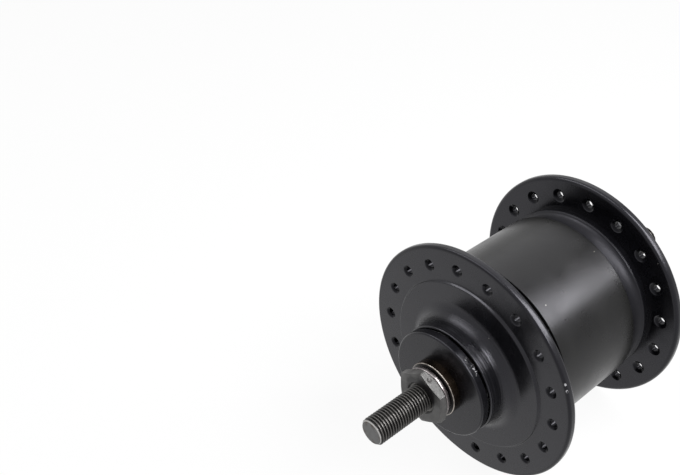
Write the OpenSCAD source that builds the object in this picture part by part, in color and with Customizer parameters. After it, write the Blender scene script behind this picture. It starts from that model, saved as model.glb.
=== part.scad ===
// Front-wheel hub dynamo made of separate pieces, in millimetres.
// Origin at the hub's centre on the axle, +X forward, +Y to the left end, +Z up.

/* [Overall] */
// Axle length from tip to tip
axle_length = 140; // [134:1:160]
// Width over the two locknuts, the fork's spacing
over_locknuts = 100; // [98:0.5:106]
// Outside diameter of the axle's free ends
axle_d = 9; // [8.5:0.1:9.4]
// Outside diameter of the thread under the cones and nuts
thread_d = 10; // [9.8:0.1:10.2]

/* [Flanges] */
// Flange outside diameter
flange_d = 83; // [81:0.5:90]
// Flange thickness at the spoke holes
flange_t = 3.2; // [2.8:0.1:3.6]
// Distance between the flanges' middle planes
flange_spacing = 55.6; // [54:0.2:57]
// Spoke hole circle diameter
spoke_circle_d = 70; // [67:0.5:73]
// Spoke holes in each flange
spokes_per_flange = 18; // [14:1:20]
// Spoke hole diameter
spoke_hole_d = 2.6; // [2.3:0.1:3]
// Countersink diameter at the outer face
outer_sink_d = 4; // [3.6:0.1:4.6]
// Countersink diameter at the inner face
inner_sink_d = 4.7; // [3.6:0.1:4.8]
// Countersink depth at each face
sink_deep = 1; // [0.7:0.1:1.2]
// Turn of the left flange's first spoke hole, up from +X
hole_turn = 1.8; // [0:0.2:20]
// Rounding of the rim's inner edge
rim_round = 1; // [0.5:0.1:1.4]
// Rounding of the rim's outer edge
rim_edge = 0.5; // [0.2:0.1:0.8]
// Diameter of the raised step on the outer face
step_d = 59.4; // [56:0.2:60.4]
// Height of the raised step
step_h = 0.8; // [0.4:0.1:1]

/* [Boss] */
// Boss diameter at its outer end
boss_d = 37.2; // [36:0.2:39]
// Fillet between the boss and the flange
boss_fillet = 4.5; // [3:0.1:5]
// Bevel at the boss's outer end
boss_bevel = 0.4; // [0.2:0.1:0.6]

/* [Barrel] */
// Barrel outside diameter
barrel_d = 61.6; // [60.6:0.2:62.6]
// Barrel length
barrel_length = 35; // [32:0.5:38]
// Barrel wall
barrel_wall = 2.4; // [2:0.1:2.8]
// Wall of the end bells' necks inside the barrel
neck_wall = 2.4; // [2:0.1:2.6]
// Fillet between neck and flange
neck_fillet = 2; // [1.4:0.1:2]
// Height of the pad round the neck on the flange's inner face
pad_h = 2.4; // [1.6:0.1:2.8]

/* [Bearings] */
// Ball diameter, three sixteenths of an inch
ball_d = 4.762; // [4.6:0.001:4.8]
// Balls in each bearing
ball_count = 11; // [9:1:11]
// Radius of the ball circle
ball_circle_r = 10.5; // [10.4:0.05:10.8]
// Radius of the bearing cup's outside
cup_r = 15; // [14.6:0.1:15.4]
// Length of the bearing cup
cup_length = 6.3; // [6:0.1:6.6]
// Radius of the cone's round barrel
cone_r = 9.3; // [9.1:0.1:9.4]
// Thickness of the lip seal
seal_t = 1.3; // [1:0.1:1.5]

/* [Axle hardware] */
// Locknut width across flats
nut_af = 17; // [16.5:0.5:18]
// Locknut thickness
nut_t = 3; // [2.6:0.1:3.4]
// Turn of a locknut corner, up from +X
nut_turn = 29; // [0:1:59]
// Lock washer thickness
washer_t = 1.4; // [1:0.1:1.6]
// Lock washer radius
washer_r = 8.8; // [8.2:0.1:9]
// Dust cap diameter
cap_d = 36.6; // [34:0.2:37]
// Dust cap depth
cap_depth = 2.8; // [2.4:0.1:3.2]
// Gap between the dust cap and the boss's end
cap_gap = 0.9; // [0.6:0.1:1.2]
// Dust cap skin
cap_skin = 1.1; // [0.9:0.1:1.3]
// Rounding of the dust cap's edge
cap_round = 0.6; // [0.3:0.1:0.8]

/* [Terminal] */
// Thickness of the terminal housing
housing_t = 3.4; // [3.2:0.1:4]
// Width of the terminal's tongue
tongue_w = 11; // [10:0.5:13]
// Reach of the tongue above the axle
tongue_top = 20; // [18:0.5:23]
// Width of a contact strip
contact_w = 2.2; // [1.8:0.1:2.4]
// Thickness of a contact strip
contact_t = 0.8; // [0.6:0.1:0.9]

/* [Generator] */
// Magnet thickness
magnet_t = 3.2; // [2.8:0.1:3.4]
// Air gap between magnets and claws
air_gap = 0.4; // [0.4:0.05:0.6]
// Half the stator's length
stator_half = 10; // [9.5:0.1:11]
// Claw fingers on each pole plate
fingers = 14; // [12:1:14]
// Width of a finger in degrees
finger_deg = 8.5; // [7.5:0.25:9]
// Thickness of a finger
finger_t = 2.5; // [2:0.1:2.8]
// Thickness of a pole plate
plate_t = 2; // [1.6:0.1:2.2]
// Radius of the coil's lead with its cover
lead_r = 0.6; // [0.5:0.05:0.65]

/* [Hidden] */
$fn = 96;
// Clearance of pieces fixed together
fit = 0.02;
// Clearance around a ball in its races
race_clear = 0.07;
// Gap of the seal's lip around the cone
lip_gap = 0.3;
// Clearance of the lead in its channels
lead_clear = 0.3;
// How far one body of a union or a cut runs into the next
overlap = 1;

axle_r = axle_d / 2;
axle_half = axle_length / 2;
axle_bevel = 0.6;
thread_r = thread_d / 2;
bore_r = thread_r + fit;

// Stations along the axle, outwards from the hub's centre
cap_clear = 0.2;
seal_inset = 0.2;
seal_gap = 0.5;
ball_inset = 2.3;
web_t = 4;
nut_out = over_locknuts / 2;
nut_in = nut_out - nut_t;
washer_in = nut_in - washer_t;
housing_in = washer_in - housing_t;
cap_out = housing_in - cap_clear;
cap_in = cap_out - cap_depth;
boss_end = cap_in - cap_gap;
seal_out = boss_end - seal_inset;
seal_in = seal_out - seal_t;
cup_out = seal_in - seal_gap;
cup_in = cup_out - cup_length;
ball_at = cup_out - ball_inset;
web_in = cup_in - web_t;

flange_r = flange_d / 2;
flange_in = flange_spacing / 2 - flange_t / 2;
flange_out = flange_spacing / 2 + flange_t / 2;
face_out = flange_out + step_h;
step_r = step_d / 2;
step_bevel = 0.4;
spoke_circle_r = spoke_circle_d / 2;
spoke_hole_r = spoke_hole_d / 2;
outer_sink_r = outer_sink_d / 2;
inner_sink_r = inner_sink_d / 2;
spoke_pitch = 360 / spokes_per_flange;

barrel_r = barrel_d / 2;
barrel_half = barrel_length / 2;
barrel_edge = 0.3;
neck_r = barrel_r - barrel_wall;
cavity_r = neck_r - neck_wall;
pad_r = neck_r + neck_fillet;
pad_in = flange_in - pad_h;
boss_r = boss_d / 2;

// Bearings: the races are the line that touches each ball at 45 degrees, hollowed by the ball
ball_r = ball_d / 2;
race_r = ball_r + race_clear;
race_off = ball_d * 0.525;
cup_open_clear = 0.32;
cup_lip_inset = 0.5;
cup_open_r = ball_circle_r + ball_r + cup_open_clear;
cup_lip_r = ball_circle_r - cup_lip_inset;
cone_tip_wall = 0.8;
cone_tip_r = thread_r + cone_tip_wall;
cone_bevel_long = 0.9;
cone_bevel_deep = 1.5;
retainer_t = 0.6;
retainer_w = 0.9;
retainer_inset = 1.7;
retainer_bar_w = 0.7;
retainer_bar_long = 2.7;
retainer_lead = 2.1;
retainer_in = ball_at - retainer_lead;

// Locknuts and dust caps
nut_face_inset = 0.1;
nut_sink = 0.5;
cap_hub_wall = 1.3;
cap_rim_wall = 1.2;

// Generator
magnet_over = 1;
magnet_deg = 88;
spigot_gap = 0.3;
magnet_out_r = neck_r - fit;
magnet_in_r = magnet_out_r - magnet_t;
magnet_half = stator_half + magnet_over;
spigot_in = magnet_half + spigot_gap;
stator_r = magnet_in_r - air_gap;
finger_in_r = stator_r - finger_t;
plate_inset = 0.8;
finger_root = 0.5;
plate_r = finger_in_r - plate_inset;
plate_in = stator_half - plate_t;
finger_pitch = 360 / fingers;
core_step = 0.5;
core_r = thread_r + core_step;
sleeve_wall = 2.5;
sleeve_r = core_r + sleeve_wall;
collar_t = 2.5;
bobbin_gap = 0.5;
bobbin_half = plate_in - bobbin_gap;
bobbin_skin = 1.3;
bobbin_wall = 1.5;
bobbin_tube_r = sleeve_r + bobbin_wall;
coil_inset = 1;
coil_r = plate_r - coil_inset;
stator_washer_t = 1;
stator_washer_over = 1;
stator_nut_t = 4;
stator_nut_wall = 2.5;
stator_nut_af = 2 * (core_r + stator_nut_wall);
stator_nut_out = stator_half + stator_washer_t + stator_nut_t;
core_over = 1;
core_out = stator_nut_out + core_over;

// Lead and terminal
lead_up = 15;
lead_turn_gap = 1.5;
lead_turn_at = core_out + lead_turn_gap;
lead_cover = 0.1;
lead_deep_r = thread_r - lead_cover - lead_r;
lead_touch = 0.05;
lead_out_at = washer_in - contact_t - lead_r - lead_touch;
lead_end_up = 11.5;
knee_r = lead_r + 0.02;
channel_r = lead_r + lead_clear;
groove_floor_r = lead_deep_r - channel_r;
contact_x = 2.6;
contact_inset = 0.5;
live_foot = lead_end_up - 1.2;
ground_foot = thread_r + 1.2;
housing_r = 11;

// The piece to build, or all of them

// Inside each of these two, z runs outwards along the axle
module left_side() {
    rotate([-90, 0, 0]) children();
}

module right_side() {
    rotate([90, 0, 0]) children();
}

// A round tube along z
module tube(r_out, r_in, from, to) {
    translate([0, 0, from])
        linear_extrude(height = to - from)
            difference() {
                circle(r = r_out);
                circle(r = r_in);
            }
}

// A straight round rod between two points
module rod(a, b, r) {
    d = b - a;
    long = norm(d);
    translate(a)
        rotate([0, acos(d[2] / long), atan2(d[1], d[0])])
            cylinder(r = r, h = long);
}

// A hexagon with its corners turned off at both ends, and a bore countersunk at its outer end
module hex_nut(af, from, to, bore) {
    corner_r = af / sqrt(3);
    face_r = af / 2 - nut_face_inset;
    bevel = (corner_r - face_r) * tan(30);
    intersection() {
        translate([0, 0, from])
            linear_extrude(height = to - from) circle(r = corner_r, $fn = 6);
        rotate_extrude()
            polygon([
                [bore, from], [face_r, from], [corner_r, from + bevel],
                [corner_r, to - bevel], [face_r, to], [bore + nut_sink, to], [bore, to - nut_sink]
            ]);
    }
}

// The way of the coil's lead, drawn as a round rod of radius r with round knees
module lead_way(r, knee) {
    start = [0, lead_up, bobbin_half + lead_touch];
    bend = [0, lead_up, lead_turn_at];
    dive = [0, lead_deep_r, lead_turn_at];
    rise = [0, lead_deep_r, lead_out_at];
    side = [0, lead_end_up, lead_out_at];
    end = [contact_x, lead_end_up, lead_out_at];
    rod(start, bend, r);
    rod(bend, dive, r);
    rod(dive, rise, r);
    rod(rise, side, r);
    rod(side, end, r);
    translate(bend) sphere(r = knee);
    translate(dive) sphere(r = knee);
    translate(rise) sphere(r = knee);
    translate(side) sphere(r = knee);
}

// Axle with its free ends, threads for cones and nuts, thick middle, stator collar and lead groove
module axle() {
    color([0.16, 0.15, 0.14])
        left_side()
            difference() {
                rotate_extrude()
                    polygon([
                        [0, -axle_half], [axle_r - axle_bevel, -axle_half], [axle_r, axle_bevel - axle_half],
                        [axle_r, -nut_out], [thread_r, -nut_out],
                        [thread_r, -core_out], [core_r, -core_out], [core_r, stator_half],
                        [sleeve_r, stator_half], [sleeve_r, stator_half + collar_t],
                        [thread_r, stator_half + collar_t], [thread_r, nut_out],
                        [axle_r, nut_out], [axle_r, axle_half - axle_bevel],
                        [axle_r - axle_bevel, axle_half], [0, axle_half]
                    ]);
                translate([-channel_r, -2 * thread_r, -lead_out_at - channel_r])
                    cube([2 * channel_r, 2 * thread_r - groove_floor_r, lead_out_at - lead_turn_at + 2 * channel_r]);
            }
}

// Steel sleeve that carries the magnetic path through the coil
module stator_sleeve() {
    color([0.45, 0.45, 0.46])
        left_side() tube(sleeve_r, core_r + fit, -stator_half, stator_half);
}

// Outlines of all the fingers of one pole plate, seen along the axle
module finger_outlines(r_in) {
    reach = 2 * stator_r;
    half = finger_deg / 2;
    intersection() {
        difference() {
            circle(r = stator_r);
            circle(r = r_in);
        }
        for (i = [0 : fingers - 1])
            rotate([0, 0, i * finger_pitch])
                polygon([[0, 0], [reach * cos(half), -reach * sin(half)], [reach * cos(half), reach * sin(half)]]);
    }
}

// Pole plate with its claw fingers, which reach across the coil
module claw_pole() {
    translate([0, 0, plate_in])
        linear_extrude(height = plate_t) {
            difference() {
                circle(r = plate_r);
                circle(r = sleeve_r + fit);
            }
            finger_outlines(plate_r - finger_root);
        }
    translate([0, 0, -plate_in])
        linear_extrude(height = 2 * plate_in) finger_outlines(finger_in_r);
}

module left_claw_pole() {
    color([0.5, 0.5, 0.52])
        left_side() claw_pole();
}

module right_claw_pole() {
    color([0.5, 0.5, 0.52])
        right_side()
            difference() {
                rotate([0, 0, finger_pitch / 2]) claw_pole();
                translate([0, lead_up, 0]) cylinder(r = channel_r, h = 2 * stator_half);
            }
}

// Plastic spool that the coil is wound on
module coil_bobbin() {
    color([0.9, 0.88, 0.8])
        left_side()
            rotate_extrude() {
                translate([sleeve_r + fit, -bobbin_half]) square([bobbin_tube_r - sleeve_r - fit, 2 * bobbin_half]);
                translate([sleeve_r + fit, -bobbin_half]) square([plate_r - sleeve_r - fit, bobbin_skin]);
                translate([sleeve_r + fit, bobbin_half - bobbin_skin]) square([plate_r - sleeve_r - fit, bobbin_skin]);
            }
}

module coil_winding() {
    color([0.72, 0.4, 0.2])
        left_side() tube(coil_r, bobbin_tube_r + fit, bobbin_skin + fit - bobbin_half, bobbin_half - bobbin_skin - fit);
}

module stator_washer() {
    color([0.6, 0.6, 0.6])
        right_side() tube(sleeve_r + stator_washer_over, core_r + fit, stator_half, stator_half + stator_washer_t);
}

module stator_nut() {
    color([0.6, 0.6, 0.6])
        right_side() hex_nut(stator_nut_af, stator_half + stator_washer_t, stator_nut_out, core_r + fit);
}

// Lead from the coil through the axle's groove to the live contact
module coil_lead() {
    color([0.75, 0.1, 0.08])
        right_side() lead_way(lead_r, knee_r);
}

// Bearing cone: race, round barrel and threaded bore, out to a given end
module bearing_cone(end) {
    tip_at = ball_at + cone_tip_r - ball_circle_r + race_off;
    shoulder_at = ball_at + cone_r - ball_circle_r + race_off;
    rotate_extrude()
        difference() {
            polygon([
                [bore_r, tip_at], [cone_tip_r, tip_at], [cone_r, shoulder_at],
                [cone_r, end - cone_bevel_long], [cone_r - cone_bevel_deep, end], [bore_r, end]
            ]);
            translate([ball_circle_r, ball_at]) circle(r = race_r);
        }
}

module left_cone() {
    color([0.42, 0.33, 0.24])
        left_side() bearing_cone(washer_in);
}

module right_cone() {
    color([0.42, 0.33, 0.24])
        right_side() bearing_cone(housing_in);
}

// Pressed dust cap that sits on the cone and covers the boss's end
module dust_cap() {
    rim_r = cap_d / 2;
    rotate_extrude() {
        difference() {
            translate([cone_r + fit, cap_in]) square([rim_r - cone_r - fit, cap_depth]);
            translate([cone_r + cap_hub_wall, cap_in - overlap])
                square([rim_r - cone_r - cap_hub_wall - cap_rim_wall, overlap + cap_depth - cap_skin]);
            translate([rim_r - cap_round, cap_out - cap_round]) square([2 * cap_round, 2 * cap_round]);
        }
        translate([rim_r - cap_round, cap_out - cap_round]) circle(r = cap_round);
    }
}

module left_dust_cap() {
    color([0.09, 0.09, 0.1])
        left_side() dust_cap();
}

module right_dust_cap() {
    color([0.09, 0.09, 0.1])
        right_side() dust_cap();
}

module left_lock_washer() {
    color([0.35, 0.3, 0.26])
        left_side() tube(washer_r, bore_r, washer_in, nut_in);
}

module right_lock_washer() {
    color([0.35, 0.3, 0.26])
        right_side() tube(washer_r, bore_r, washer_in, nut_in);
}

module left_locknut() {
    color([0.5, 0.5, 0.48])
        left_side() rotate([0, 0, -nut_turn]) hex_nut(nut_af, nut_in, nut_out, bore_r);
}

module right_locknut() {
    color([0.5, 0.5, 0.48])
        right_side() rotate([0, 0, nut_turn]) hex_nut(nut_af, nut_in, nut_out, bore_r);
}

// One contact strip, its foot at the given height above the axle
module contact_strip(x, foot, grow) {
    translate([x - contact_w / 2 - grow, foot - grow, washer_in - contact_t - grow])
        cube([contact_w + 2 * grow, tongue_top - contact_inset - foot + 2 * grow, contact_t + 2 * grow]);
}

// Plastic housing on the axle with the tongue that takes the lamp's plug
module terminal_housing() {
    color([0.07, 0.07, 0.08])
        right_side()
            difference() {
                union() {
                    translate([0, 0, housing_in]) cylinder(r = housing_r, h = housing_t);
                    translate([-tongue_w / 2, 0, housing_in]) cube([tongue_w, tongue_top, housing_t]);
                }
                translate([0, 0, housing_in - overlap]) cylinder(r = bore_r, h = housing_t + 2 * overlap);
                contact_strip(contact_x, live_foot, fit);
                contact_strip(-contact_x, ground_foot, fit);
                lead_way(channel_r, channel_r);
            }
}

module terminal_contact_live() {
    color([0.8, 0.62, 0.25])
        right_side() contact_strip(contact_x, live_foot, 0);
}

module terminal_contact_ground() {
    color([0.8, 0.62, 0.25])
        right_side() contact_strip(-contact_x, ground_foot, 0);
}

// Plain round barrel between the two flanges
module hub_barrel() {
    color([0.12, 0.12, 0.12])
        left_side()
            rotate_extrude()
                polygon([
                    [neck_r, -barrel_half], [barrel_r - barrel_edge, -barrel_half], [barrel_r, barrel_edge - barrel_half],
                    [barrel_r, barrel_half - barrel_edge], [barrel_r - barrel_edge, barrel_half], [neck_r, barrel_half]
                ]);
}

// Outline of an end bell: spigot, neck, flange, step, boss and bearing seat
module bell_outline() {
    polygon([
        [cavity_r, spigot_in], [neck_r - fit, spigot_in], [neck_r - fit, barrel_half], [neck_r, barrel_half],
        [neck_r, pad_in], [pad_r, pad_in], [pad_r, flange_in], [flange_r - rim_round, flange_in],
        [flange_r, flange_in + rim_round], [flange_r, flange_out - rim_edge], [flange_r - rim_edge, flange_out],
        [step_r + step_bevel, flange_out], [step_r, face_out], [boss_r, face_out], [boss_r, boss_end - boss_bevel],
        [boss_r - boss_bevel, boss_end], [cup_r, boss_end], [cup_r, cup_in], [cup_lip_r, cup_in],
        [cup_lip_r, web_in], [cavity_r, web_in]
    ]);
    translate([flange_r - rim_round, flange_in + rim_round]) circle(r = rim_round);
    translate([flange_r - rim_edge, flange_out - rim_edge]) circle(r = rim_edge);
    difference() {
        translate([boss_r - overlap, face_out - overlap]) square([boss_fillet + overlap, boss_fillet + overlap]);
        translate([boss_r + boss_fillet, face_out + boss_fillet]) circle(r = boss_fillet);
    }
    difference() {
        translate([neck_r - overlap, pad_in - neck_fillet]) square([neck_fillet + overlap, neck_fillet + overlap]);
        translate([neck_r + neck_fillet, pad_in - neck_fillet]) circle(r = neck_fillet);
    }
}

// A spoke hole through the flange, countersunk at both faces; the cut runs past each face by its own depth
module spoke_hole() {
    inner_end_r = 2 * inner_sink_r - spoke_hole_r;
    outer_end_r = 2 * outer_sink_r - spoke_hole_r;
    rotate_extrude()
        polygon([
            [0, flange_in - sink_deep], [inner_end_r, flange_in - sink_deep],
            [spoke_hole_r, flange_in + sink_deep], [spoke_hole_r, flange_out - sink_deep],
            [outer_end_r, flange_out + sink_deep], [0, flange_out + sink_deep]
        ]);
}

module end_bell(turn) {
    difference() {
        rotate_extrude() bell_outline();
        for (i = [0 : spokes_per_flange - 1])
            rotate([0, 0, turn + i * spoke_pitch])
                translate([spoke_circle_r, 0, 0]) spoke_hole();
    }
}

module left_flange() {
    color([0.08, 0.08, 0.09])
        left_side() end_bell(-hole_turn);
}

module right_flange() {
    color([0.08, 0.08, 0.09])
        right_side() end_bell(hole_turn + spoke_pitch / 2);
}

// Four curved magnets held inside the barrel
module magnet_segments() {
    color([0.2, 0.2, 0.22])
        left_side()
            for (i = [0 : 3])
                rotate([0, 0, 90 * i])
                    rotate_extrude(angle = magnet_deg)
                        translate([magnet_in_r, -magnet_half]) square([magnet_t, 2 * magnet_half]);
}

// Pressed bearing cup with its race
module bearing_cup() {
    open_at = ball_at + cup_open_r - ball_circle_r - race_off;
    lip_at = ball_at + cup_lip_r - ball_circle_r - race_off;
    rotate_extrude()
        difference() {
            polygon([
                [cup_lip_r, cup_in], [cup_r - fit, cup_in], [cup_r - fit, cup_out],
                [cup_open_r, cup_out], [cup_open_r, open_at], [cup_lip_r, lip_at]
            ]);
            translate([ball_circle_r, ball_at]) circle(r = race_r);
        }
}

module left_bearing_cup() {
    color([0.6, 0.6, 0.62])
        left_side() bearing_cup();
}

module right_bearing_cup() {
    color([0.6, 0.6, 0.62])
        right_side() bearing_cup();
}

module left_seal() {
    color([0.05, 0.05, 0.05])
        left_side() tube(cup_r - fit, cone_r + lip_gap, seal_in, seal_out);
}

module right_seal() {
    color([0.05, 0.05, 0.05])
        right_side() tube(cup_r - fit, cone_r + lip_gap, seal_in, seal_out);
}

module ball_ring() {
    for (i = [0 : ball_count - 1])
        rotate([0, 0, i * 360 / ball_count])
            translate([ball_circle_r, 0, ball_at]) sphere(r = ball_r);
}

// Ring with thin fingers that keep the balls apart
module ball_retainer() {
    ring_r = ball_circle_r - retainer_inset;
    root_r = ring_r - retainer_w / 2;
    tube(ring_r, ring_r - retainer_w, retainer_in, retainer_in + retainer_t);
    for (i = [0 : ball_count - 1])
        rotate([0, 0, (i + 0.5) * 360 / ball_count])
            translate([0, -retainer_bar_w / 2, retainer_in]) {
                translate([root_r, 0, 0]) cube([ball_circle_r - root_r, retainer_bar_w, retainer_t]);
                translate([ball_circle_r - retainer_w, 0, 0]) cube([retainer_w, retainer_bar_w, retainer_bar_long]);
            }
}

module left_bearing_balls() {
    color([0.8, 0.8, 0.82])
        left_side() ball_ring();
}

module right_bearing_balls() {
    color([0.8, 0.8, 0.82])
        right_side() ball_ring();
}

module left_ball_retainer() {
    color([0.65, 0.6, 0.5])
        left_side() ball_retainer();
}

module right_ball_retainer() {
    color([0.65, 0.6, 0.5])
        right_side() ball_retainer();
}

axle();
stator_sleeve();
left_claw_pole();
right_claw_pole();
coil_bobbin();
coil_winding();
stator_washer();
stator_nut();
coil_lead();
left_cone();
right_cone();
left_dust_cap();
right_dust_cap();
left_lock_washer();
right_lock_washer();
left_locknut();
right_locknut();
terminal_housing();
terminal_contact_live();
terminal_contact_ground();
hub_barrel();
left_flange();
right_flange();
magnet_segments();
left_bearing_cup();
right_bearing_cup();
left_seal();
right_seal();
left_bearing_balls();
right_bearing_balls();
left_ball_retainer();
right_ball_retainer();
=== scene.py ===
# Looks for a bicycle hub dynamo: finer meshes, materials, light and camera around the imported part.
import math

import bmesh
import bpy
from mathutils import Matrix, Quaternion, Vector


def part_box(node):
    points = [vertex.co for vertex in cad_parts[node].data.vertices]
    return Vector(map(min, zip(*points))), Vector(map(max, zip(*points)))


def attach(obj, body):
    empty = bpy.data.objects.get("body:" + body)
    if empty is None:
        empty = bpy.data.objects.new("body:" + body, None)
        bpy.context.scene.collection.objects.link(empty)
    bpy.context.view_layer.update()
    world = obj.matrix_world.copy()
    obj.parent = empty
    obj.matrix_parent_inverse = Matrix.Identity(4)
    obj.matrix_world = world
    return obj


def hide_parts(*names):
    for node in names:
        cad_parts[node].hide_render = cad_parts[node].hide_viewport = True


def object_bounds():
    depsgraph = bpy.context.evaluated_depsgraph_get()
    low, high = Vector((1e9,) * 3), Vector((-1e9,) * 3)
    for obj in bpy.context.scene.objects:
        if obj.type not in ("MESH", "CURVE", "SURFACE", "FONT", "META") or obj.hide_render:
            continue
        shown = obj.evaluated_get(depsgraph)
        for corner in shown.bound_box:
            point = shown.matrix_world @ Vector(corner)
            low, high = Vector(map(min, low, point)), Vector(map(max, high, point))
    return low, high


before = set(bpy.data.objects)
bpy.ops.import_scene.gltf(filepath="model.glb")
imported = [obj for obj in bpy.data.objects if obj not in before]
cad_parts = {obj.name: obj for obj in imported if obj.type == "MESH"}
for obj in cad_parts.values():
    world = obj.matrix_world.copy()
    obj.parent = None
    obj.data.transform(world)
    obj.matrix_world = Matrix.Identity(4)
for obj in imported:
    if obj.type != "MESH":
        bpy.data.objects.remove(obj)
cad_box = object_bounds()

# Sizes in millimetres and angles in degrees; MM turns millimetres into Blender's metres
MM = 0.001

# Mesh settings: edges over the angle stay sharp, and points nearer than the merge sizes, in metres, join
LATHE_STEPS = 192
SHARP_ANGLE = 32
NUT_SHARP_ANGLE = 17
MERGE = 1e-7
AXLE_MERGE = 1e-6

# Sizes that the frame gives
FLANGE_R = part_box("left_flange")[1].x / MM
BOSS_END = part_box("left_flange")[1].y / MM
SPIGOT_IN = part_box("left_flange")[0].y / MM
BARREL_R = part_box("hub_barrel")[1].x / MM
BARREL_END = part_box("hub_barrel")[1].y / MM
CAP_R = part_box("left_dust_cap")[1].x / MM
CAP_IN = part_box("left_dust_cap")[0].y / MM
CAP_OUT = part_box("left_dust_cap")[1].y / MM
WASHER_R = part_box("left_lock_washer")[1].x / MM
WASHER_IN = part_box("left_lock_washer")[0].y / MM
NUT_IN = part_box("left_locknut")[0].y / MM
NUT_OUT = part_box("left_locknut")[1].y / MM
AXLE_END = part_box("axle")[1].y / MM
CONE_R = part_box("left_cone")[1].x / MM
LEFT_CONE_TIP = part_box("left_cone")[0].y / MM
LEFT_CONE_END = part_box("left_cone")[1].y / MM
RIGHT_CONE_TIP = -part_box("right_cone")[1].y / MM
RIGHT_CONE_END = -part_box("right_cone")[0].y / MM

# Flange, boss and barrel
FLANGE_IN = 26.2
FLANGE_OUT = 29.4
STEP_MID_R = 29.9
STEP_SLOPE = 61.0
STEP_EDGE = 0.35
FACE_OUT = 30.2
RIM_ROUND = 1.4
RIM_EDGE = 0.9
NECK_R = 28.4
NECK_FILLET = 2.0
NECK_SWEEP = 4.5
NECK_SWEEP_END = 85.0
PAD_IN = 23.8
PAD_EDGE = 0.2
CAVITY_R = 26.0
BOSS_R = 18.6
BOSS_FILLET = 4.5
BOSS_EDGE = 0.4
SEAT_R = 15.0
SEAT_IN = 30.0
LIP_R = 10.0
WEB_IN = 26.0
BARREL_EDGE = 0.3

# Spoke holes
SPOKES = 18
SPOKE_CIRCLE_R = 35.0
HOLE_R = 1.3
HOLE_STEPS = 40
SINK_IN_R = 2.35
SINK_IN_DEEP = 0.7
SINK_OUT_R = 2.0
SINK_OUT_DEEP = 0.6
SINK_LIP = 0.1
CUT_OVER = 0.4
LEFT_HOLE_TURN = 1.8
RIGHT_HOLE_TURN = 11.8

# Locknuts, each with a dot in one flat
BORE_R = 5.02
NUT_AF = 17.0
NUT_TURN = 29.0
NUT_SINK = 0.5
NUT_CORNER_CUT = 0.06
NUT_FACE_INSET = 0.1
NUT_FRONT_BEVEL = 12.0
NUT_BACK_BEVEL = 30.0
NUT_EDGE_WIDE = 0.2
NUT_EDGE_DEEP = 0.03
NUT_FLAT_STEPS = 36
NUT_ROWS = 24
NUT_MIDDLE = (NUT_IN + NUT_OUT) / 2
DOT_FLAT = 1
DOT_ALONG = -1.8
DOT_R = 0.8
DOT_DEEP = 0.25

# Axle thread, which starts inside the locknut's countersink
AXLE_R = 4.5
AXLE_BEVEL = 0.7
TIP_RING = 0.5
THREAD_SUNK = 0.55
THREAD_START = NUT_OUT - THREAD_SUNK
THREAD_PITCH = 1.0
THREAD_DEPTH = 0.55
THREAD_CREST = 1.25
THREAD_FLANK = 1.55
THREAD_STEPS = 72
THREAD_ROWS = 14

# Dust caps, lock washers and bearing cones
CAP_FIT = 0.02
CAP_HUB_WALL = 1.3
CAP_RIM_WALL = 1.2
CAP_SKIN = 1.1
CAP_ROUND = 0.6
CAP_BACK_EDGE = 0.15
WASHER_EDGE = 0.25
CONE_TIP_R = 5.8
CONE_BEVEL_LONG = 0.9
CONE_BEVEL_DEEP = 1.5
CONE_EDGE = 0.12
CONE_EDGE_TURN = 60
BALL_CIRCLE_R = 10.5
RACE_R = 2.45
RACE_FROM_TIP = 2.2
RACE_START = 179
RACE_END = 120

# Black coats: colours in red, green and blue, roughness, gloss, and how strong the turning marks are
COAT_DARK = (0.002, 0.002, 0.0027)
COAT_LIGHT = (0.0036, 0.0036, 0.0047)
COAT_DUST = (0.4, 0.39, 0.36)
COAT_TINT = (0.91, 0.9, 1.0)
COAT_ROUGH = (0.18, 0.32)
COAT_GRAIN = 0.0036
FACE_LINES = 0.6
BOSS_LINES = 36.0
BOSS_LINES_FULL = 0.4 * BOSS_FILLET
SHELL_GLOSS = 0.4
CAP_GLOSS = 0.3
BARREL_DARK = (0.002, 0.002, 0.0016)
BARREL_LIGHT = (0.005, 0.005, 0.0042)
BARREL_DUST = (0.45, 0.44, 0.4)
BARREL_TINT = (0.93, 0.92, 1.0)
BARREL_ROUGH = (0.25, 0.36)
BARREL_GLOSS = 0.26
BARREL_DENTS = 3.0

# Hollows and rims with less gloss, as painted shade, and how soft their limits are
NECK_DULL = 0.2
NECK_SHADE = 0.35
NECK_SOFT = 1.0
HOLE_SHADE = 0.6
HOLE_SHADE_BEGINS = 0.1
HOLE_SHADE_FULL = 0.3
RIM_SHADE = 0.3

# Chips on the near rim and scuffs on the near cap; the core is the share of a mark that is in full
CHIP = (0.3, 0.3, 0.31)
CHIP_SOFT = 0.05
MARK_CORE = 0.6
RIM_CHIPS = ((-37.8, 29.2, 17.0), (-38.7, 29.1, 14.9))
CAP_SCUFFS = ((-9.8, 39.9, 15.5), (-11.9, 39.7, 13.9), (-13.3, 39.5, 12.6))

# Locknut metal, with a black ring round the thread that reaches further above the axle, and grime in the
# dot
NUT_DARK = (0.036, 0.035, 0.034)
NUT_LIGHT = (0.08, 0.078, 0.077)
NUT_ROUGH = (0.36, 0.5)
DARK_RING = (0.006, 0.005, 0.006)
DARK_RING_FULL_R = 4.2
DARK_RING_END_R = 4.9
DARK_RING_UNEVEN = 2.6
DARK_RING_RISE = 0.3
GRIME = (0.04, 0.035, 0.035)
GRIME_COVER = 0.6

# Cone metal, with a black bevel as painted shade and a bright front edge as painted highlight; the bands
# lie along the axle, measured from the edge where the bevel begins
CONE_DARK = (0.012, 0.008, 0.006)
CONE_OILY = (0.05, 0.035, 0.024)
CONE_ROUGH = (0.16, 0.34)
CONE_BEVEL_SHADE = (0.005, 0.004, 0.004)
CONE_BEVEL_BAND = (0.04, 0.12)
EDGE_HIGHLIGHT = (0.6, 0.55, 0.5)
EDGE_HIGHLIGHT_BEGINS = (-0.2, -0.12)
EDGE_HIGHLIGHT_ENDS = (0.1, 0.04)
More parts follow.
